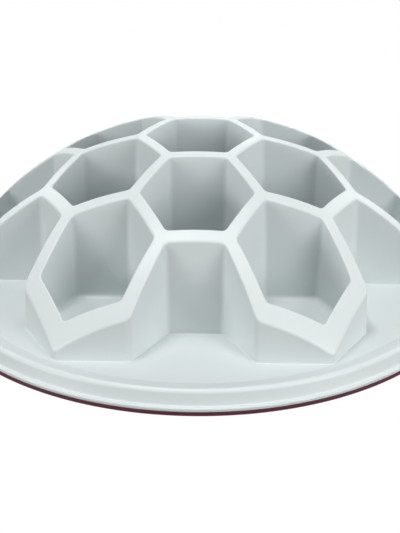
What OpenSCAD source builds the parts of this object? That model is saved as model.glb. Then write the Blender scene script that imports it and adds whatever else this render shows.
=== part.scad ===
// Round slow feeder bowl: a shallow dish, a honeycomb hive that rises from its floor,
// and a soft grip ring pressed into a groove under the rim.
// +Z is up and the origin is on the ground under the middle of the bowl.
// The camera side is -Y, where one of the six open bays looks out.

/* [Hive] */
// Side of a hexagonal cell, between the centre lines of its walls
cell_side = 30.4; // [28:0.1:33]
// Height of the hive's crown above the dish floor
hive_h = 70.7; // [58:0.1:80]
// Thickness of a wall at the crown
wall_top = 4.9; // [4.5:0.1:6]
// Lean of the wall faces, in degrees from upright
draft = 1.4; // [0.8:0.1:1.6]
// Fillet in the upright corners inside a cell or bay
cell_fillet = 3; // [1.5:0.25:5]
// Rounding of the hive's upright outer corners
corner_round = 1.5; // [0.5:0.25:2.5]
// Height of the closed cells' floors above the dish floor
cell_lift = 4.5; // [3.5:0.25:6]
// Distance past the hive's corners at which the dome would meet the dish floor
dome_reach = 2.6; // [1.5:0.1:4]
// Thickness of the moulded skin, with the walls hollow from below
skin = 2; // [1.6:0.1:2.1]

/* [Dish] */
// Thickness of the dish floor
floor_t = 2.2; // [1.8:0.1:2.6]
// Height of the dish floor above the flange of the rim
floor_rise = 4.8; // [3.5:0.1:6]
// Distance from the hive's corners to the crest of the lip
lip_gap = 8; // [7:0.1:16]
// Height of the lip's crest above the dish floor
lip_h = 1.5; // [0.8:0.1:2.2]
// Width of the ramp from the dish floor up to the crest
lip_ramp = 5; // [4:0.25:6]
// Rounding on the outside of the crest
lip_round = 1.25; // [1:0.25:2.5]
// Lean of the skirt below the lip, in degrees from upright
skirt_lean = 27; // [15:1:32]
// Height of the flange at the foot of the skirt
flange_h = 2.5; // [2:0.1:4]
// Distance that the flange stands out from the skirt
flange_w = 0.7; // [0.4:0.1:1.5]
// Thickness of the flange wall at its foot
flange_t = 2; // [1.6:0.1:2.4]
// Thickness of the round rib that holds the inside of the grip ring
rib_t = 2; // [1.5:0.1:3]
// Width of the groove between the flange and the rib, at its mouth
groove_w = 5.9; // [5:0.1:8]

/* [Grip ring] */
// Height of the ring between the flange and the ground
ring_h = 1.6; // [1:0.1:3]
// Distance that the foot of the ring stands out from the flange
ring_flare = 0.6; // [0.3:0.1:1.2]
// Height of the ring's tongue inside the groove
tongue_h = 2.6; // [1.5:0.1:3]
// Play between the tongue and the sides of the groove
tongue_fit = 0.15; // [0.1:0.05:0.3]
// Rounding of the edges of the ring's foot
ring_round = 0.4; // [0.2:0.1:0.6]

/* [Hidden] */

// Length by which a cutting shape runs past what it cuts, and a filling shape into its walls
overrun = 5;
bite = 0.05;
// Segments in each rounded corner of a cell, and in each arc of the rim's outline
corner_steps = 3;
arc_steps = 6;

// Heights above the ground
flange_z = ring_h + flange_h;
floor_z = flange_z + floor_rise;
under_z = floor_z - floor_t;
crest_z = floor_z + lip_h;

// Half the thickness of a wall at a height above the dish floor
function half_wall(h) = wall_top / 2 + (hive_h - h) * tan(draft);

// Distance from a cell's centre to its wall centre lines, and from one centre to the next
cell_flat = cell_side * cos(30);
cell_pitch = 2 * cell_flat;

// Cell centres: the middle cell and its ring, the closed outer cells, the open bays
ring_turns = [30:60:330];
point_turns = [0:60:300];
mid_cells = concat([[0, 0]], [for (t = ring_turns) cell_pitch * [cos(t), sin(t)]]);
outer_cells = [for (t = point_turns) 3 * cell_side * [cos(t), sin(t)]];
closed_cells = concat(mid_cells, outer_cells);
bays = [for (t = ring_turns) 2 * cell_pitch * [cos(t), sin(t)]];

// The two back corners of each bay, as the bay's centre and the corner's direction from it
bay_corners = [for (b = bays, side = [-1, 1]) [b, atan2(-b[1], -b[0]) + 30 * side]];

// The dome that the tops of the walls lie on
hive_r = 4 * cell_side + half_wall(0) / cos(30);
dome_foot_r = hive_r + dome_reach;
dome_r = (dome_foot_r * dome_foot_r + hive_h * hive_h) / (2 * hive_h);

// Radii of the rim, from the crest of the lip outwards
lip_r = hive_r + lip_gap;
crest_turn = 90 - skirt_lean;
skirt_top_r = lip_r + lip_round * sin(crest_turn);
skirt_top_z = crest_z - lip_round * (1 - cos(crest_turn));
skirt_foot_r = skirt_top_r + (skirt_top_z - flange_z) * tan(skirt_lean);
flange_r = skirt_foot_r + flange_w;
flange_round = flange_w;
groove_r = flange_r - flange_t;
rib_r = groove_r - groove_w;
rib_in_r = rib_r - rib_t;
ring_r = flange_r + ring_flare;

// Radius of the sloping side of the groove at a height above the ground
function groove_side(z) = groove_r - (z - ring_h) * tan(skirt_lean);

// One round corner of a hexagon, in direction t, given centre to flat and corner radius
function corner_points(flat, corner, t) = [
    for (j = [0:corner_steps])
        let (turn = t - 30 + 60 * j / corner_steps)
        (flat - corner) / cos(30) * [cos(t), sin(t)] + corner * [cos(turn), sin(turn)]
];

// Outline of a hexagon with round corners
function hexagon(flat, corner) = [for (t = point_turns) each corner_points(flat, corner, t)];

// Upright body that widens evenly from one height above the dish floor to another
module tapered(points, widening, low, high) {
    translate([0, 0, floor_z + low])
        linear_extrude(height = high - low, scale = widening)
            polygon(points);
}

// The space inside a cell, taken wider by grow on every side
module cell_space(low, grow) {
    flat_low = cell_flat - half_wall(low) + grow;
    flat_high = cell_flat - half_wall(hive_h + overrun) + grow;
    tapered(hexagon(flat_low, cell_fillet + grow), flat_high / flat_low, low, hive_h + overrun);
}

// A cell with its walls filled in, taken narrower by shrink on every side
module cell_block(low, shrink) {
    flat_low = cell_flat + half_wall(low) - shrink;
    flat_high = cell_flat + half_wall(hive_h + overrun) - shrink;
    tapered(hexagon(flat_low, corner_round), flat_high / flat_low, low, hive_h + overrun);
}

// The fillet up a back corner of a bay, in direction t from the bay's centre
module bay_fillet(low, t) {
    flat_low = cell_flat - half_wall(low) + bite;
    flat_high = cell_flat - half_wall(hive_h + overrun) + bite;
    outline = concat(corner_points(flat_low, cell_fillet, t), [cell_side * [cos(t), sin(t)]]);
    tapered(outline, flat_high / flat_low, low, hive_h + overrun);
}

// The dome, lowered by drop
module dome(drop) {
    translate([0, 0, floor_z + hive_h - dome_r])
        sphere(r = dome_r - drop, $fn = 180);
}

// The hive's walls and cell floors, rising from inside the dish floor
module hive() {
    difference() {
        intersection() {
            dome(0);
            union() {
                for (c = closed_cells)
                    translate(c)
                        cell_block(-floor_t / 2, 0);
                for (c = bay_corners)
                    translate(c[0])
                        bay_fillet(-floor_t / 2, c[1]);
            }
        }
        for (c = closed_cells)
            translate(c)
                cell_space(cell_lift, 0);
    }
}

// The hollow inside the hive's walls and under its cell floors, open below
module hive_hollow() {
    difference() {
        intersection() {
            dome(skin);
            for (c = closed_cells)
                translate(c)
                    cell_block(-floor_t - overrun, skin);
        }
        for (c = closed_cells)
            translate(c)
                cell_space(cell_lift - skin, skin);
    }
}

// Outline of the dish from the axis to the rim and back underneath
function ramp_points() = [
    for (j = [0:arc_steps])
        let (share = j / arc_steps)
        [lip_r - lip_ramp * (1 - share), floor_z + lip_h * (1 - cos(180 * share)) / 2]
];
function crest_points() = [
    for (j = [1:arc_steps])
        let (turn = crest_turn * j / arc_steps)
        [lip_r + lip_round * sin(turn), crest_z - lip_round * (1 - cos(turn))]
];
function flange_points() = [
    for (j = [0:arc_steps])
        let (turn = 90 * j / arc_steps)
        [flange_r - flange_round * (1 - sin(turn)), flange_z - flange_round * (1 - cos(turn))]
];

module dish() {
    rotate_extrude($fn = 180)
        polygon(concat(
            [[0, under_z], [0, floor_z]],
            ramp_points(),
            crest_points(),
            flange_points(),
            [[flange_r, ring_h], [groove_r, ring_h]],
            [[groove_side(under_z), under_z], [rib_r, under_z]],
            [[rib_r, ring_h], [rib_in_r, ring_h], [rib_in_r, under_z]]
        ));
}

module bowl_body() {
    color([0.85, 0.88, 0.88])
        difference() {
            union() {
                dish();
                hive();
            }
            hive_hollow();
        }
}

// The grip ring: a flat foot under the flange and rib, with a tongue up the groove
module grip_ring() {
    tongue_z = ring_h + tongue_h;
    color([0.36, 0.10, 0.16])
        rotate_extrude($fn = 180)
            polygon([
                [rib_in_r + ring_round, 0],
                [ring_r - ring_round, 0],
                [ring_r, ring_round],
                [flange_r, ring_h],
                [groove_r - tongue_fit, ring_h],
                [groove_side(tongue_z) - tongue_fit, tongue_z],
                [rib_r + tongue_fit, tongue_z],
                [rib_r + tongue_fit, ring_h],
                [rib_in_r, ring_h],
                [rib_in_r, ring_round]
            ]);
}

bowl_body();
grip_ring();
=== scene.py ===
"""Looks of a round slow feeder bowl with a honeycomb hive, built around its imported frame."""

from math import asin, atan2, cos, hypot, pi, radians, sin, sqrt, tan

import bmesh
import bpy
from bpy.props import FloatProperty, FloatVectorProperty, PointerProperty
from mathutils import Matrix, Vector


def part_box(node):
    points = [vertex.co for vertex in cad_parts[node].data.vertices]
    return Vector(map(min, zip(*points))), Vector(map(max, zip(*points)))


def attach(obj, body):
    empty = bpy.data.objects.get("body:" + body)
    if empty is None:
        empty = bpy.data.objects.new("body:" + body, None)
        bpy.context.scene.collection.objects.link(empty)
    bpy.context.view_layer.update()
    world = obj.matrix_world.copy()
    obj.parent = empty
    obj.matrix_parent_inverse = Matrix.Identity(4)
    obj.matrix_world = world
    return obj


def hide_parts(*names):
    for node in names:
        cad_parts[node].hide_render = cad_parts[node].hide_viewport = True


bl_info = {
    "name": "Slow Feeder Bowl",
    "version": (1, 0, 0),
    "blender": (4, 5, 0),
    "location": "3D View > Sidebar > Feeder",
    "description": "Builds the bowl, its grip ring and a plain studio around the packed frame",
    "category": "Add Mesh",
}

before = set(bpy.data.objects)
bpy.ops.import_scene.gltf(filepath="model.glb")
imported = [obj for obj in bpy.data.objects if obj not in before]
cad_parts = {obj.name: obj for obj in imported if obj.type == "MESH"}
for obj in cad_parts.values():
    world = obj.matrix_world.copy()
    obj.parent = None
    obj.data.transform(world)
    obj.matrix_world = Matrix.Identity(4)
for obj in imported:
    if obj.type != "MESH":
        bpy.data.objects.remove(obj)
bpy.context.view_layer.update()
RING_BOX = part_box("grip_ring")

# A millimetre in metres, the unit of all lengths here
MM = 0.001
# How far two points of neighbouring patches may lie apart and still be the same point
WELD = 0.002 * MM

# Half the angle that a side takes up, seen from its cell's centre
HALF_SIDE = radians(30)
# The six directions of the outer cells
SIXTHS = [radians(turn) for turn in range(0, 360, 60)]
# Cell sides from the middle of the hive to the centres of the outer cells, and to its corners
OUTER_CELL = 3
HIVE_CORNER = 4
# Rounds in which the top of a wall's face is fitted to the dome
TOP_ROUNDS = 12
# Share of a wall's half length at which the line along its top begins to close in on the corner
TOP_TURN = 0.88
# Rounding of the hidden edges in the hollow under the walls
HOLLOW_EDGE = 0.3 * MM

# Extra points beside the roundings keep the long faces flat: on a wall's top, down a wall's
# face, on the floor at its foot, and along the outlines of the rim and the ring
TOP_GUARD = 0.15
FACE_GUARDS = (0.05, 0.35, 0.65, 0.95)
FLOOR_GUARD = 0.5 * MM
OUTLINE_GUARD = 0.35 * MM
# Shortest line of an outline that gets such points
OUTLINE_LONG = 3 * OUTLINE_GUARD

# Steps all round the bowl, over the crest of the lip, and in the smaller roundings
TURN_STEPS = 360
CREST_STEPS = 16
SKIRT_FOOT_STEPS = 6
FLANGE_STEPS = 8
CORNER_STEPS = 4
# Reach of the rounding at the foot of the lip's ramp
RAMP_FOOT = 0.35 * MM
# Shares of the skirt and the ledge that the rounding between them takes up
SKIRT_SHARE = 0.06
LEDGE_FOOT_SHARE = 0.2
# Shares of the ledge and the flange's wall that the rounding between them takes up
LEDGE_EDGE_SHARE = 0.5
FLANGE_SHARE = 0.6

# The value that noise varies about
NOISE_MIDDLE = 0.5
# The plastic: size of its clouds and their darkest and lightest shade, size of its handling
# marks, roughness where it is handled least and most, and what the grain adds to that
CLOUD_SIZE = 60 * MM
CLOUD_SHADES = (0.985, 1.01)
MARK_SIZE = 9 * MM
PLASTIC_ROUGHNESS = (0.39, 0.46)
GRAIN_ROUGHNESS = 0.06
# The rubber: size of its fine tooth, size of its dusty bloom and its shades, roughness between
# and on the teeth, and what the bloom adds to that
TOOTH_SIZE = 0.35 * MM
BLOOM_SIZE = 18 * MM
BLOOM_SHADES = (0.93, 1.12)
RING_ROUGHNESS = (0.58, 0.72)
BLOOM_ROUGHNESS = 0.08

# Half the side of the studio floor
FLOOR_REACH = 3.0
# The floor's colour as it throws light back, and as the camera sees it
FLOOR_LIT = (0.12, 0.12, 0.12, 1.0)
FLOOR_SEEN = (0.97, 0.97, 0.97, 1.0)
# How much of the floor's look is plain white, which leaves the rest for the bowl's shadow
FLOOR_WHITE = 0.9
WHITE = (1, 1, 1, 1)
# Height of the camera's frame in millimetres, as cameras state it
FRAME_HEIGHT = 36

# The studio's soft lamps stand in a round, all turned to one point on the bowl's axis
LAMP_DISTANCE = 1.5
LAMP_AIM = 0.04
# For each lamp: degrees round to the right from the front, degrees up, width, height and power
LAMPS = {
    "high_left": (300, 78, 0.4, 0.4, 9.7),
    "high_right": (60, 78, 0.4, 0.4, 4.2),
    "left": (270, 45, 0.6, 0.6, 1.2),
    "front_left": (315, 25, 0.7, 0.6, 2.2),
    "front_right": (45, 25, 0.7, 0.6, 8.0),
    "back_right": (135, 25, 0.7, 0.6, 3.5),
    "back": (180, 25, 0.7, 0.6, 3.6),
    "back_left": (225, 25, 0.7, 0.6, 3.4),
    "low_front_left": (305, 10, 0.7, 0.4, 8.0),
    "low_front_right": (55, 10, 0.7, 0.4, 6.0),
    "low_right": (90, 10, 0.7, 0.4, 1.65),
}


class HiveSizes(bpy.types.PropertyGroup):
    """Sizes of the honeycomb hive"""

    cell_side: FloatProperty(
        name="Cell side", description="Side of a cell between the middles of its walls",
        default=30.4 * MM, unit="LENGTH", precision=4)
    height: FloatProperty(
        name="Height",
        description="Height above the dish floor at which a wall has its crown thickness",
        default=70.7 * MM, unit="LENGTH", precision=4)
    crown_wall: FloatProperty(
        name="Crown wall", description="Thickness of a wall at the crown",
        default=4.9 * MM, unit="LENGTH", precision=4)
    draft: FloatProperty(
        name="Draft", description="Lean of the wall faces from upright",
        default=radians(1.4), subtype="ANGLE")
    cell_fillet: FloatProperty(
        name="Cell fillet", description="Fillet up the corners inside a cell or bay",
        default=2.8 * MM, unit="LENGTH", precision=4)
    corner_round: FloatProperty(
        name="Corner round", description="Rounding up the outer corners of the hive",
        default=4.0 * MM, unit="LENGTH", precision=4)
    cell_lift: FloatProperty(
        name="Cell lift", description="Height of the closed cells' floors above the dish floor",
        default=4.9 * MM, unit="LENGTH", precision=4)
    crown: FloatProperty(
        name="Crown", description="Height of the dome's middle above the dish floor",
        default=70.4 * MM, unit="LENGTH", precision=4)
    dome_radius: FloatProperty(
        name="Dome radius", description="Radius of the dome over its middle",
        default=164.8 * MM, unit="LENGTH", precision=4)
    foot_drop: FloatProperty(
        name="Foot drop",
        description="How far the dome lies below that radius at the hive's corners",
        default=6.26 * MM, unit="LENGTH", precision=4)
    skin: FloatProperty(
        name="Skin", description="Thickness of the moulded skin over the hollow walls",
        default=2.0 * MM, unit="LENGTH", precision=4)
    top_edge: FloatProperty(
        name="Top edge", description="Reach of the rounding along the tops of the walls",
        default=0.9 * MM, unit="LENGTH", precision=4)
    floor_fillet: FloatProperty(
        name="Floor fillet", description="Fillet between a closed cell's floor and its walls",
        default=2.6 * MM, unit="LENGTH", precision=4)
    foot_fillet: FloatProperty(
        name="Foot fillet", description="Fillet between the hive's outside and the dish floor",
        default=0.35 * MM, unit="LENGTH", precision=4)


class DishSizes(bpy.types.PropertyGroup):
    """Sizes of the dish and its rim"""

    floor_t: FloatProperty(
        name="Floor thickness", description="Thickness of the dish floor",
        default=2.2 * MM, unit="LENGTH", precision=4)
    floor_rise: FloatProperty(
        name="Floor rise", description="Height of the dish floor above the flange",
        default=5.2 * MM, unit="LENGTH", precision=4)
    lip_gap: FloatProperty(
        name="Lip gap", description="Distance from the hive's corners to the crest of the lip",
        default=7.0 * MM, unit="LENGTH", precision=4)
    lip_h: FloatProperty(
        name="Lip height", description="Height of the lip's crest above the dish floor",
        default=1.5 * MM, unit="LENGTH", precision=4)
    lip_ramp: FloatProperty(
        name="Lip ramp", description="Width of the ramp from the floor up to the crest",
        default=6.5 * MM, unit="LENGTH", precision=4)
    lip_round: FloatProperty(
        name="Lip round", description="Rounding over the crest",
        default=2.3 * MM, unit="LENGTH", precision=4)
    skirt_lean: FloatProperty(
        name="Skirt lean", description="Lean of the skirt below the lip from upright",
        default=radians(17.63), subtype="ANGLE")
    flange_h: FloatProperty(
        name="Flange height", description="Height of the flange at the foot of the skirt",
        default=1.8 * MM, unit="LENGTH", precision=4)
    flange_w: FloatProperty(
        name="Flange width", description="Distance that the flange stands out from the skirt",
        default=2.0 * MM, unit="LENGTH", precision=4)
    flange_t: FloatProperty(
        name="Flange wall", description="Thickness of the flange wall at its foot",
        default=3.2 * MM, unit="LENGTH", precision=4)
    rib_t: FloatProperty(
        name="Rib wall", description="Thickness of the round rib inside the grip ring",
        default=2.0 * MM, unit="LENGTH", precision=4)
    groove_w: FloatProperty(
        name="Groove width", description="Width of the groove for the ring at its mouth",
        default=4.7 * MM, unit="LENGTH", precision=4)
    groove_lean: FloatProperty(
        name="Groove lean", description="Lean of the groove's outer side from upright",
        default=radians(27), subtype="ANGLE")
    edge: FloatProperty(
        name="Fine edge", description="Rounding of the rim's small lower edges",
        default=0.25 * MM, unit="LENGTH", precision=5)


class RingSizes(bpy.types.PropertyGroup):
    """Sizes of the grip ring"""

    height: FloatProperty(
        name="Height", description="Height of the ring between the flange and the ground",
        default=1.9 * MM, unit="LENGTH", precision=4)
    tongue_h: FloatProperty(
        name="Tongue height", description="Height of the tongue inside the groove",
        default=2.6 * MM, unit="LENGTH", precision=4)
    tongue_fit: FloatProperty(
        name="Tongue fit", description="Play between the tongue and the sides of the groove",
        default=0.15 * MM, unit="LENGTH", precision=5)
    inset: FloatProperty(
        name="Foot inset",
        description="How far the ring's foot stays inside the radius of the packed ring",
        default=0.15 * MM, unit="LENGTH", precision=5)
    edge: FloatProperty(
        name="Foot edge", description="Rounding of the edges of the ring's foot",
        default=0.4 * MM, unit="LENGTH", precision=5)


class FinishValues(bpy.types.PropertyGroup):
    """Colours and textures of the two materials"""

    plastic: FloatVectorProperty(
        name="Plastic", description="Colour of the moulded bowl", subtype="COLOR", size=3,
        min=0.0, max=1.0, default=(0.615, 0.663, 0.665))
    ring: FloatVectorProperty(
        name="Ring", description="Colour of the soft grip ring", subtype="COLOR", size=3,
        min=0.0, max=1.0, default=(0.065, 0.010, 0.019))
    grain: FloatProperty(
        name="Grain", description="Size of the moulded surface's fine grain",
        default=0.5 * MM, unit="LENGTH", precision=5)


class StudioValues(bpy.types.PropertyGroup):
    """Where the camera stands and how the studio is lit"""

    azimuth: FloatProperty(
        name="Azimuth", description="How far the camera stands round to the right of the front",
        default=radians(1.5676), subtype="ANGLE")
    distance: FloatProperty(
        name="Distance", description="Camera's distance from the bowl's axis, along the ground",
        default=579.25 * MM, unit="LENGTH")
    height: FloatProperty(
        name="Height", description="Camera's height above the ground",
        default=291.5 * MM, unit="LENGTH")
    tilt: FloatProperty(
        name="Tilt", description="How far the camera looks down from level",
        default=radians(26.505), subtype="ANGLE")
    roll: FloatProperty(
        name="Roll", description="How far the camera is turned about its own view line",
        default=radians(-0.0524), subtype="ANGLE")
    lens: FloatProperty(
        name="Lens", description="Focal length for a frame 36 mm high",
        default=82.10, unit="CAMERA")
    light: FloatProperty(
        name="Light", description="Brightness of all the lamps, where 1 is a plain level",
        default=1.0)


class Skin:
    """One face of the hive's moulding: the upper face, or the hollow beneath it

    Depth is how far it lies inside the upper face. Its points are counted by straight along a
    side, by arc in half a corner of a cell, and by curve in each rounding down a wall.
    """

    def __init__(
            self, hive, depth, edge, floor_fillet, foot_fillet, cell_z, dish_z,
            straight, arc, curve):
        self.hive = hive
        self.flat = hive.cell_side * cos(HALF_SIDE)
        self.depth = depth
        self.edge = edge
        self.floor_fillet = floor_fillet
        self.foot_fillet = foot_fillet
        self.cell_z = cell_z
        self.dish_z = dish_z
        self.straight = straight
        self.arc = arc
        self.curve = curve
        self.fillet = hive.cell_fillet + depth
        self.bay_fillet = max(hive.cell_fillet - depth, edge)
        self.round = hive.corner_round

    def wall(self, height):
        """Distance from the middle of a wall to its face, at a height above the dish floor"""
        return half_wall(self.hive, height) - self.depth

    def dome(self, radius):
        """Height of the dome above the dish floor: a ball that falls off faster towards its foot"""
        hive = self.hive
        ball = hive.dome_radius - self.depth
        drop = hive.foot_drop * (radius / (HIVE_CORNER * hive.cell_side)) ** 4
        return hive.crown - hive.dome_radius + sqrt(ball ** 2 - radius ** 2) - drop

    def place(self, side, step, height, off):
        """Plan position of a step along a side, off the wall's face towards its middle"""
        wall = self.wall(height) - off
        first, last = self.arc, self.arc + self.straight
        if step < first:
            along, out = self.corner(side.start, wall, off, HALF_SIDE * (1 - step / self.arc))
            return side.at(-along, out)
        if step > last:
            along, out = self.corner(side.end, wall, off, HALF_SIDE * (step - last) / self.arc)
            return side.at(along, out)
        left, out = self.corner(side.start, wall, off, 0)
        right = self.corner(side.end, wall, off, 0)[0]
        share = (step - first) / self.straight
        return side.at(-left * (1 - share) + right * share, out)

    def corner(self, kind, wall, off, turn):
        """A point of a rounded corner, along the side and out from the cell's centre"""
        if kind == "outside":
            flat = self.flat + wall
            radius = max(self.round - off, 0)
        else:
            flat = self.flat - wall
            radius = max((self.bay_fillet if kind == "bay" else self.fillet) + off, 0)
        along = (flat - radius) * tan(HALF_SIDE) + radius * sin(turn)
        out = flat - radius + radius * cos(turn)
        return along, 2 * self.flat - out if kind == "bay" else out

    def middle(self, side, step):
        """Plan position of a step along the middle of the wall"""
        first, last = self.arc, self.arc + self.straight
        rest = (1 - TOP_TURN) / sin(HALF_SIDE)
        if step < first:
            share = -TOP_TURN - rest * sin(HALF_SIDE * (1 - step / self.arc))
        elif step > last:
            share = TOP_TURN + rest * sin(HALF_SIDE * (step - last) / self.arc)
        else:
            share = TOP_TURN * (2 * (step - first) / self.straight - 1)
        return side.at(share * self.flat * tan(HALF_SIDE), self.flat)

    def on_dome(self, plan):
        """The point of the dome over a plan position"""
        return Vector((plan.x, plan.y, self.dome(plan.length)))

    def column(self, side, step):
        """Points from the middle of a wall's top over its edge and down to the floor"""
        outward = side.start != "inside"
        floor_z = self.dish_z if outward else self.cell_z
        fillet = self.foot_fillet if outward else self.floor_fillet
        # The face leans and the dome falls away, so their meeting is found in rounds
        top = self.hive.height / 2
        for _ in range(TOP_ROUNDS):
            top = self.dome(self.place(side, step, top, 0).length)

        def face(height, off=0.0, level=None):
            plan = self.place(side, step, height, off)
            return Vector((plan.x, plan.y, height if level is None else level))

        middle = self.middle(side, step)
        inner = self.place(side, step, top, self.edge)
        points = [self.on_dome(middle), self.on_dome(inner.lerp(middle, TOP_GUARD))]
        points += rounded(self.on_dome(inner), face(top), face(top - self.edge), self.curve)
        foot = face(floor_z + fillet)
        points += [points[-1].lerp(foot, share) for share in FACE_GUARDS]
        if fillet:
            points += rounded(foot, face(floor_z), face(floor_z, -fillet, floor_z), self.curve)
            points += [face(floor_z, -fillet - FLOOR_GUARD, floor_z)]
        else:
            points += [foot]
        return points

    def rings(self, sides):
        """Closed rings of points round the sides, from the middle of the walls to the floor"""
        steps = 2 * self.arc + self.straight
        return list(zip(*[self.column(side, step) for side in sides for step in range(steps)]))


class Side:
    """A side of a cell, with its middle in direction turn from the cell's centre"""

    def __init__(self, centre, turn, start="inside", end="inside"):
        self.centre = centre
        self.out = heading(turn)
        self.along = heading(turn + pi / 2)
        self.start = start
        self.end = end

    def at(self, along, out):
        """Plan position along the side and out from the cell's centre"""
        return self.centre + self.out * out + self.along * along


def heading(turn):
    """Unit vector in the plan, turned from the bowl's right"""
    return Vector((cos(turn), sin(turn)))


def half_wall(hive, height):
    """Half the thickness of a wall at a height above the dish floor"""
    return hive.crown_wall / 2 + (hive.height - height) * tan(hive.draft)


def hive_radius(hive):
    """Radius of the hive's outer corners at the dish floor"""
    return HIVE_CORNER * hive.cell_side + half_wall(hive, 0) / cos(HALF_SIDE)


def rounded(start, corner, end, steps):
    """Points of a curve that leaves start and reaches end along the lines to the corner"""
    points = []
    for step in range(steps + 1):
        share = step / steps
        points.append(start.lerp(corner, share).lerp(corner.lerp(end, share), share))
    return points


def cell_pitch(hive):
    """Distance between the centres of two neighbouring cells"""
    return 2 * hive.cell_side * cos(HALF_SIDE)


def closed_cells(hive):
    """Centres of the middle cell, the six round it and the six closed outer cells"""
    outer = OUTER_CELL * hive.cell_side
    centres = [Vector((0, 0))]
    centres += [heading(turn + HALF_SIDE) * cell_pitch(hive) for turn in SIXTHS]
    centres += [heading(turn) * outer for turn in SIXTHS]
    return centres


def cell_sides(centre):
    """The six sides that look into a closed cell"""
    return [Side(centre, turn + HALF_SIDE) for turn in SIXTHS]


def outside_sides(hive):
    """The sides that face out of the hive: round a closed cell, then a bay's back wall"""
    sides = []
    for turn in SIXTHS:
        outer = heading(turn) * OUTER_CELL * hive.cell_side
        sides.append(Side(outer, turn - pi / 2, "bay", "outside"))
        sides.append(Side(outer, turn - HALF_SIDE, "outside", "outside"))
        sides.append(Side(outer, turn + HALF_SIDE, "outside", "outside"))
        sides.append(Side(outer, turn + pi / 2, "outside", "bay"))
        middle = heading(turn + HALF_SIDE) * cell_pitch(hive)
        sides.append(Side(middle, turn + HALF_SIDE, "bay", "bay"))
    return sides


def loft(mesh, rings, lift):
    """Extrudes the first ring through the others and returns the last ring's edges"""
    place = mesh.verts.layers.int.get("place") or mesh.verts.layers.int.new("place")
    raised = Vector((0, 0, lift))
    corners = []
    for number, point in enumerate(rings[0]):
        corner = mesh.verts.new(point + raised)
        corner[place] = number
        corners.append(corner)
    edges = [mesh.edges.new((corner, corners[number - 1])) for number, corner in enumerate(corners)]
    for ring in rings[1:]:
        made = bmesh.ops.extrude_edge_only(mesh, edges=edges)["geom"]
        for corner in made:
            if isinstance(corner, bmesh.types.BMVert):
                corner.co = ring[corner[place]] + raised
        edges = [edge for edge in made if isinstance(edge, bmesh.types.BMEdge) and edge.is_boundary]
    return edges


def shape_skin(mesh, skin, floor_z):
    """Adds one face of the hive: a cup for each closed cell, and the outside down to the dish"""
    for centre in closed_cells(skin.hive):
        edges = loft(mesh, skin.rings(cell_sides(centre)), floor_z)
        bmesh.ops.contextual_create(mesh, geom=edges)
    loft(mesh, skin.rings(outside_sides(skin.hive)), floor_z)


def braced(points, closed=False):
    """The outline with extra points near the ends of its long lines, so that they stay flat"""
    result = []
    ends = points[1:] + points[:1] if closed else points[1:]
    for start, end in zip(points, ends):
        result.append(start)
        length = (end - start).length
        if length > OUTLINE_LONG:
            share = OUTLINE_GUARD / length
            result += [start.lerp(end, share), end.lerp(start, share)]
    return result if closed else result + points[-1:]


def outline_point(radius, height):
    """A point of an outline that is turned round the bowl's axis"""
    return Vector((radius, 0, height))


def round_corner(before, corner, after, reach):
    """The corner of an outline, rounded over a reach along both of its lines"""
    start = corner + (before - corner).normalized() * reach
    end = corner + (after - corner).normalized() * reach
    return rounded(start, corner, end, CORNER_STEPS)


def turn_outline(mesh, points, closed):
    """Turns an outline round the bowl's axis"""
    corners = [mesh.verts.new(point) for point in points]
    edges = [mesh.edges.new(pair) for pair in zip(corners, corners[1:])]
    if closed:
        edges.append(mesh.edges.new((corners[-1], corners[0])))
    bmesh.ops.spin(
        mesh, geom=corners + edges, cent=(0, 0, 0), axis=(0, 0, 1),
        angle=2 * pi, steps=TURN_STEPS, use_merge=True)


def finish_piece(mesh, name, node, material):
    """Closes the mesh, turns its faces outwards, makes it a piece under the root and hides its
    node's packed part
    """
    bmesh.ops.remove_doubles(mesh, verts=mesh.verts, dist=WELD)
    open_edges = [edge for edge in mesh.edges if not edge.is_manifold]
    if open_edges:
        place = open_edges[0].verts[0].co
        raise RuntimeError(f"{name} has {len(open_edges)} open edges, the first at {place}")
    bmesh.ops.recalc_face_normals(mesh, faces=mesh.faces)
    for face in mesh.faces:
        face.smooth = True
    data = bpy.data.meshes.new(name)
    mesh.to_mesh(data)
    mesh.free()
    piece = bpy.data.objects.new(name, data)
    bpy.context.scene.collection.objects.link(piece)
    data.materials.append(material)
    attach(piece, "root")
    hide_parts(node)
    return piece


def rim_sizes(hive, dish, ring):
    """The rim's radii, and the heights above the ground that its corners share"""
    rim = {}
    rim["flange_z"] = ring.height + dish.flange_h
    rim["floor_z"] = rim["flange_z"] + dish.floor_rise
    rim["under_z"] = rim["floor_z"] - dish.floor_t
    rim["crest_z"] = rim["floor_z"] + dish.lip_h
    rim["lip"] = hive_radius(hive) + dish.lip_gap
    skirt_top = crest_point(dish, rim, crest_turn(dish))
    skirt_out = (skirt_top.z - rim["flange_z"]) * tan(dish.skirt_lean)
    rim["skirt_foot"] = skirt_top.x + skirt_out
    rim["flange"] = rim["skirt_foot"] + dish.flange_w
    rim["groove"] = rim["flange"] - dish.flange_t
    rim["rib"] = rim["groove"] - dish.groove_w
    rim["rib_in"] = rim["rib"] - dish.rib_t
    return rim


def crest_turn(dish):
    """How far the rounding over the crest turns down to meet the skirt"""
    return pi / 2 - dish.skirt_lean


def crest_point(dish, rim, turn):
    """A point of the rounding over the lip's crest"""
    radius = rim["lip"] + dish.lip_round * sin(turn)
    return outline_point(radius, rim["crest_z"] - dish.lip_round * (1 - cos(turn)))


def crest_points(dish, rim):
    """The rounding over the lip's crest, from the top of the ramp to the top of the skirt"""
    rise, reach = dish.lip_h - dish.lip_round, dish.lip_ramp
    slope = atan2(rise, reach) + asin(dish.lip_round / hypot(rise, reach))
    turned = crest_turn(dish) + slope
    steps = range(CREST_STEPS + 1)
    return [crest_point(dish, rim, -slope + turned * step / CREST_STEPS) for step in steps]


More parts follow.
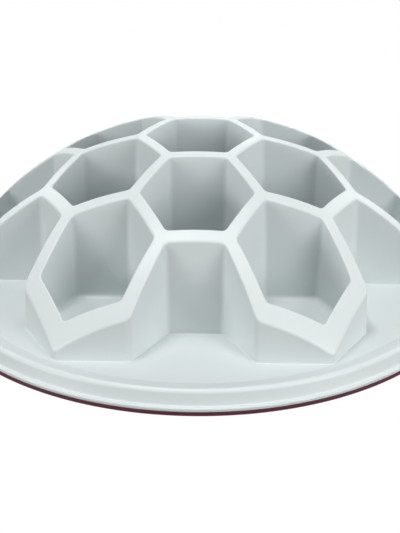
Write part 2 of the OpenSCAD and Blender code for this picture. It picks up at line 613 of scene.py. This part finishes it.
def rim_outline(dish, rim, ring):
    """The rim from the foot of the ramp, over the lip and down round the groove to the rib"""
    dish_middle = outline_point(0, rim["floor_z"])
    ramp_foot = outline_point(rim["lip"] - dish.lip_ramp, rim["floor_z"])
    crest = crest_points(dish, rim)
    skirt_foot = outline_point(rim["skirt_foot"], rim["flange_z"])
    flange_top = outline_point(rim["flange"], rim["flange_z"])
    flange_foot = outline_point(rim["flange"], ring.height)
    groove_foot = outline_point(rim["groove"], ring.height)
    groove_in = (rim["under_z"] - ring.height) * tan(dish.groove_lean)
    groove_top = outline_point(rim["groove"] - groove_in, rim["under_z"])
    rib_top = outline_point(rim["rib"], rim["under_z"])
    rib_foot = outline_point(rim["rib"], ring.height)
    rib_in_foot = outline_point(rim["rib_in"], ring.height)
    rib_in_top = outline_point(rim["rib_in"], rim["under_z"])
    points = round_corner(dish_middle, ramp_foot, crest[0], RAMP_FOOT) + crest
    points += rounded(
        skirt_foot.lerp(crest[-1], SKIRT_SHARE), skirt_foot,
        skirt_foot.lerp(flange_top, LEDGE_FOOT_SHARE), SKIRT_FOOT_STEPS)
    points += rounded(
        flange_top.lerp(skirt_foot, LEDGE_EDGE_SHARE), flange_top,
        flange_top.lerp(flange_foot, FLANGE_SHARE), FLANGE_STEPS)
    points += round_corner(flange_top, flange_foot, groove_foot, dish.edge)
    points += round_corner(flange_foot, groove_foot, groove_top, dish.edge)
    points += [groove_top, rib_top]
    points += round_corner(rib_top, rib_foot, rib_in_foot, dish.edge)
    points += round_corner(rib_foot, rib_in_foot, rib_in_top, dish.edge)
    points += [rib_in_top]
    return braced(points)


class Value:
    """An output of a node, worked on with ordinary operators"""

    def __init__(self, finish, socket):
        self.finish = finish
        self.socket = socket

    def work(self, operation, first, second):
        """Adds a Math node"""
        return self.finish.node("ShaderNodeMath", {"operation": operation}, {0: first, 1: second})

    def __add__(self, other):
        return self.work("ADD", self, other)

    def __sub__(self, other):
        return self.work("SUBTRACT", self, other)

    def __rsub__(self, other):
        return self.work("SUBTRACT", other, self)

    def __mul__(self, other):
        return self.work("MULTIPLY", self, other)

    __radd__ = __add__
    __rmul__ = __mul__


class Finish:
    """The nodes of a material, or of the world"""

    def __init__(self, owner):
        owner.use_nodes = True
        self.owner = owner
        self.nodes = owner.node_tree.nodes
        self.links = owner.node_tree.links
        self.nodes.clear()

    def make(self, kind, settings=None, values=None):
        """Adds a node, first with its settings and then with its sockets' values or links"""
        node = self.nodes.new(kind)
        for name, value in (settings or {}).items():
            setattr(node, name, value)
        for name, value in (values or {}).items():
            socket = node.inputs[name]
            if isinstance(value, Value):
                self.links.new(value.socket, socket)
            else:
                socket.default_value = value
        return node

    def node(self, kind, settings=None, values=None, output=0):
        """As make, but returns one of the new node's outputs"""
        return Value(self, self.make(kind, settings, values).outputs[output])

    def noise(self, where, size, detail, roughness=0.5):
        """Even noise whose features are about one size across"""
        return self.node("ShaderNodeTexNoise", None, {
            "Vector": where, "Scale": 1 / size, "Detail": detail, "Roughness": roughness})

    def spread(self, value, low, high, to_low=0.0, to_high=1.0):
        """Maps a range of a value to another range, and holds it there"""
        return self.node("ShaderNodeMapRange", None, {
            0: value, 1: low, 2: high, 3: to_low, 4: to_high})

    def blend(self, share, first, second):
        """Mixes two colours, whose sockets have these numbers on a Mix node"""
        return self.node(
            "ShaderNodeMix", {"data_type": "RGBA"}, {0: share, 6: first, 7: second}, output=2)

    def bump(self, height, strength, distance):
        """A fine relief for the Normal socket of a shader"""
        return self.node("ShaderNodeBump", None, {
            "Strength": strength, "Distance": distance, "Height": height})

    def plain_ray(self):
        """1 for a ray that meets the studio's plain white and not its light, otherwise 0"""
        path = self.make("ShaderNodeLightPath")
        seen = Value(self, path.outputs["Is Camera Ray"])
        for kind in ("Is Glossy Ray", "Is Transmission Ray"):
            seen = self.node(
                "ShaderNodeMath", {"operation": "ADD", "use_clamp": True},
                {0: seen, 1: Value(self, path.outputs[kind])})
        return seen

    def output(self, shader, kind="ShaderNodeOutputMaterial"):
        """Gives the material or the world its surface, and returns it"""
        self.make(kind, None, {"Surface": shader})
        return self.owner


def shade(colour, factor):
    """A colour made lighter or darker, as a socket wants it"""
    return tuple(min(channel * factor, 1.0) for channel in colour) + (1.0,)


def bowl_plastic(values):
    """Satin moulded plastic: even pale colour with faint clouds, fine grain and handling marks"""
    finish = Finish(bpy.data.materials.new("bowl_plastic"))
    dark, light = [shade(values.plastic, factor) for factor in CLOUD_SHADES]
    least, most = PLASTIC_ROUGHNESS
    where = finish.node("ShaderNodeTexCoord", output="Object")
    clouds = finish.noise(where, CLOUD_SIZE, detail=3.0)
    grain = finish.noise(where, values.grain, detail=2.0)
    marks = finish.noise(where, MARK_SIZE, detail=4.0, roughness=0.65)
    colour = finish.blend(finish.spread(clouds, low=0.3, high=0.7), dark, light)
    handled = finish.spread(marks, low=0.35, high=0.75, to_low=least, to_high=most)
    rough = handled + GRAIN_ROUGHNESS * (grain - NOISE_MIDDLE)
    relief = finish.bump(0.7 * grain + 0.3 * marks, strength=0.12, distance=0.04 * MM)
    return finish.output(finish.node("ShaderNodeBsdfPrincipled", None, {
        "Base Color": colour, "Roughness": rough, "IOR": 1.49, "Normal": relief}))


def ring_elastomer(values):
    """Matt soft rubber: dark berry red with a fine even tooth and a dusty bloom"""
    finish = Finish(bpy.data.materials.new("ring_elastomer"))
    dark, light = [shade(values.ring, factor) for factor in BLOOM_SHADES]
    least, most = RING_ROUGHNESS
    where = finish.node("ShaderNodeTexCoord", output="Object")
    tooth = finish.noise(where, TOOTH_SIZE, detail=3.0, roughness=0.6)
    bloom = finish.noise(where, BLOOM_SIZE, detail=3.0, roughness=0.6)
    colour = finish.blend(finish.spread(bloom, low=0.35, high=0.7), dark, light)
    toothed = finish.spread(tooth, low=0.3, high=0.7, to_low=least, to_high=most)
    rough = toothed + BLOOM_ROUGHNESS * (bloom - NOISE_MIDDLE)
    relief = finish.bump(tooth, strength=0.25, distance=0.05 * MM)
    return finish.output(finish.node("ShaderNodeBsdfPrincipled", None, {
        "Base Color": colour, "Roughness": rough, "IOR": 1.38, "Normal": relief}))


def floor_finish():
    """Pale floor that keeps the bowl's shadow and shows white to the camera"""
    finish = Finish(bpy.data.materials.new("studio_floor"))
    seen = finish.node("ShaderNodeLightPath", output="Is Camera Ray")
    colour = finish.blend(seen, FLOOR_LIT, FLOOR_SEEN)
    matt = finish.node("ShaderNodeBsdfDiffuse", None, {"Color": colour})
    white = finish.node("ShaderNodeEmission", None, {"Color": WHITE, "Strength": 1.0})
    share = finish.plain_ray() * FLOOR_WHITE
    return finish.output(finish.node("ShaderNodeMixShader", None, {0: share, 1: matt, 2: white}))


class FEEDER_OT_bowl(bpy.types.Operator):
    """Build the moulded bowl: the hive, the dish floor, the rim and the hollow underside"""

    bl_idname = "feeder.bowl"
    bl_label = "Moulded Bowl"

    def execute(self, context):
        scene = context.scene
        hive, dish, ring = scene.feeder_hive, scene.feeder_dish, scene.feeder_ring
        rim = rim_sizes(hive, dish, ring)
        mesh = bmesh.new()
        upper = Skin(
            hive, depth=0.0, edge=hive.top_edge,
            floor_fillet=hive.floor_fillet, foot_fillet=hive.foot_fillet,
            cell_z=hive.cell_lift, dish_z=0.0, straight=10, arc=4, curve=5)
        under = Skin(
            hive, depth=hive.skin, edge=HOLLOW_EDGE, floor_fillet=0.0, foot_fillet=0.0,
            cell_z=hive.cell_lift - hive.skin, dish_z=-dish.floor_t, straight=5, arc=2, curve=2)
        shape_skin(mesh, upper, rim["floor_z"])
        shape_skin(mesh, under, rim["floor_z"])
        turn_outline(mesh, rim_outline(dish, rim, ring), closed=False)
        bmesh.ops.remove_doubles(mesh, verts=mesh.verts, dist=WELD)
        for level in (rim["floor_z"], rim["under_z"]):
            edges = [
                edge for edge in mesh.edges
                if edge.is_boundary and all(abs(end.co.z - level) < WELD for end in edge.verts)]
            bmesh.ops.triangle_fill(mesh, use_beauty=True, edges=edges, normal=(0, 0, 1))
        plastic = bowl_plastic(scene.feeder_finish)
        finish_piece(mesh, "moulded_bowl", "bowl_body", plastic)
        return {"FINISHED"}


class FEEDER_OT_grip_ring(bpy.types.Operator):
    """Build the soft ring under the rim, with its tongue in the groove"""

    bl_idname = "feeder.grip_ring"
    bl_label = "Grip Ring"

    def execute(self, context):
        scene = context.scene
        hive, dish, ring = scene.feeder_hive, scene.feeder_dish, scene.feeder_ring
        rim = rim_sizes(hive, dish, ring)
        foot_r = RING_BOX[1].x - ring.inset
        tongue_z = ring.height + ring.tongue_h
        tongue_r = rim["groove"] - ring.tongue_h * tan(dish.groove_lean) - ring.tongue_fit
        corners = [
            outline_point(rim["rib_in"], 0),
            outline_point(foot_r, 0),
            outline_point(rim["flange"], ring.height),
            outline_point(rim["groove"] - ring.tongue_fit, ring.height),
            outline_point(tongue_r, tongue_z),
            outline_point(rim["rib"] + ring.tongue_fit, tongue_z),
            outline_point(rim["rib"] + ring.tongue_fit, ring.height),
            outline_point(rim["rib_in"], ring.height),
        ]
        reaches = [ring.edge, ring.edge, dish.edge, 0, dish.edge, dish.edge, 0, dish.edge]
        points = []
        for number, (corner, reach) in enumerate(zip(corners, reaches)):
            before, after = corners[number - 1], corners[(number + 1) % len(corners)]
            points += round_corner(before, corner, after, reach) if reach else [corner]
        mesh = bmesh.new()
        turn_outline(mesh, braced(points, closed=True), closed=True)
        elastomer = ring_elastomer(scene.feeder_finish)
        finish_piece(mesh, "soft_ring", "grip_ring", elastomer)
        return {"FINISHED"}


class FEEDER_OT_studio(bpy.types.Operator):
    """Set up the floor, the soft light and the camera"""

    bl_idname = "feeder.studio"
    bl_label = "Studio"

    def execute(self, context):
        scene = context.scene
        studio = scene.feeder_studio
        scene.view_settings.view_transform = "Standard"
        self.floor(scene)
        self.sky(scene)
        self.lamps(scene, studio.light)
        self.camera(scene, studio)
        return {"FINISHED"}

    def floor(self, scene):
        """A wide flat floor under the bowl"""
        mesh = bmesh.new()
        bmesh.ops.create_grid(mesh, x_segments=4, y_segments=4, size=FLOOR_REACH)
        data = bpy.data.meshes.new("studio_floor")
        mesh.to_mesh(data)
        mesh.free()
        data.materials.append(floor_finish())
        floor = bpy.data.objects.new("studio_floor", data)
        scene.collection.objects.link(floor)

    def sky(self, scene):
        """A white background that sheds no light of its own"""
        sky = Finish(bpy.data.worlds.new("studio_sky"))
        white = sky.node("ShaderNodeBackground", None, {
            "Color": WHITE, "Strength": sky.plain_ray()})
        scene.world = sky.output(white, "ShaderNodeOutputWorld")

    def lamps(self, scene, light):
        """Round soft lamps that the camera doesn't see"""
        aim = Vector((0, 0, LAMP_AIM))
        for name, (round_to, up, width, height, power) in LAMPS.items():
            lamp = bpy.data.lights.new(name, "AREA")
            lamp.shape = "ELLIPSE"
            lamp.size = width
            lamp.size_y = height
            lamp.energy = power * light
            level = heading(radians(round_to) - pi / 2) * cos(radians(up))
            away = Vector((level.x, level.y, sin(radians(up))))
            stand = bpy.data.objects.new(name, lamp)
            stand.location = aim + away * LAMP_DISTANCE
            stand.rotation_euler = (-away).to_track_quat("-Z", "Y").to_euler()
            stand.visible_camera = False
            scene.collection.objects.link(stand)

    def camera(self, scene, studio):
        """The camera, as far from the bowl and as high as the photograph's"""
        lens = bpy.data.cameras.new("camera")
        lens.sensor_width = FRAME_HEIGHT
        lens.lens = studio.lens
        camera = bpy.data.objects.new("camera", lens)
        level = heading(studio.azimuth - pi / 2) * studio.distance
        camera.location = (level.x, level.y, studio.height)
        round_to = Matrix.Rotation(studio.azimuth, 3, "Z")
        down = Matrix.Rotation(pi / 2 - studio.tilt, 3, "X")
        roll = Matrix.Rotation(studio.roll, 3, "Z")
        camera.rotation_euler = (round_to @ down @ roll).to_euler()
        scene.collection.objects.link(camera)
        scene.camera = camera


class FEEDER_PT_panel(bpy.types.Panel):
    """Lists the sizes, the finishes and the pieces"""

    bl_label = "Slow Feeder Bowl"
    bl_idname = "FEEDER_PT_panel"
    bl_space_type = "VIEW_3D"
    bl_region_type = "UI"
    bl_category = "Feeder"

    def draw(self, context):
        scene = context.scene
        for name, (_, label) in GROUPS.items():
            box = self.layout.box()
            box.label(text=label)
            group = getattr(scene, name)
            for key in group.bl_rna.properties.keys():
                if key not in ("rna_type", "name"):
                    box.prop(group, key)
        for operator in OPERATORS:
            self.layout.operator(operator.bl_idname)


# The groups of values, by the names that the scene has them under, and their labels
GROUPS = {
    "feeder_hive": (HiveSizes, "Hive"),
    "feeder_dish": (DishSizes, "Dish and rim"),
    "feeder_ring": (RingSizes, "Grip ring"),
    "feeder_finish": (FinishValues, "Finishes"),
    "feeder_studio": (StudioValues, "Studio"),
}
OPERATORS = (FEEDER_OT_bowl, FEEDER_OT_grip_ring, FEEDER_OT_studio)
CLASSES = tuple(group for group, _ in GROUPS.values()) + OPERATORS + (FEEDER_PT_panel,)


def register():
    for cls in CLASSES:
        bpy.utils.register_class(cls)
    for name, (group, _) in GROUPS.items():
        setattr(bpy.types.Scene, name, PointerProperty(type=group))


def unregister():
    for name in GROUPS:
        delattr(bpy.types.Scene, name)
    for cls in reversed(CLASSES):
        bpy.utils.unregister_class(cls)


def main():
    register()
    bpy.ops.feeder.bowl()
    bpy.ops.feeder.grip_ring()
    bpy.ops.feeder.studio()


if __name__ == "__main__":
    main()
